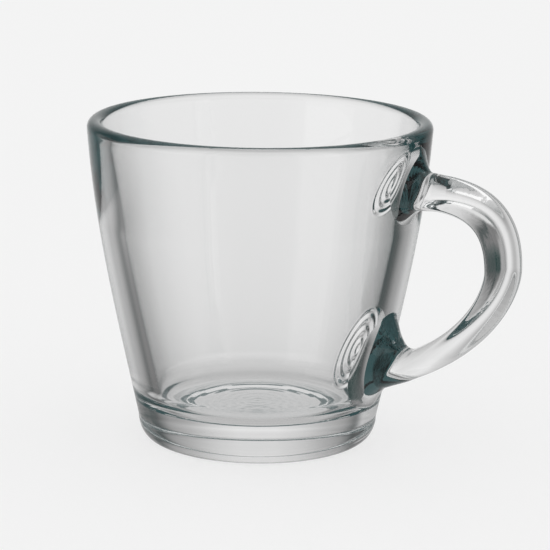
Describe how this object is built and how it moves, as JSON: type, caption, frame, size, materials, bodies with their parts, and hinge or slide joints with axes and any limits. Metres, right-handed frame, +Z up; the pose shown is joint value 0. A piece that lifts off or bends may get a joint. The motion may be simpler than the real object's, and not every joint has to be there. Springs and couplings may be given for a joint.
{
  "type": "handled glass cup",
  "caption": "Clear thick-walled glass cup that tapers to a heavy rounded base, with a smooth loop handle fused to its side; holds a drink and stands on a table.",
  "frame": {"origin": "on the table plane under the foot, below the middle of the whole width with the handle", "axes": "+X from the bowl out along the handle, +Z up along the bowl's axis, the handle's plane is y = 0"},
  "size_m": [0.1191, 0.09, 0.085],
  "materials": {
    "bowl_glass": "clear soda-lime glass, faintly green, fire-polished",
    "handle_glass": "clear soda-lime glass, faintly green, pressed, a little rough on the finger side"
  },
  "bodies": {
    "root": {"bowl": "bowl_glass", "handle": "handle_glass"}
  },
  "joints": []
}
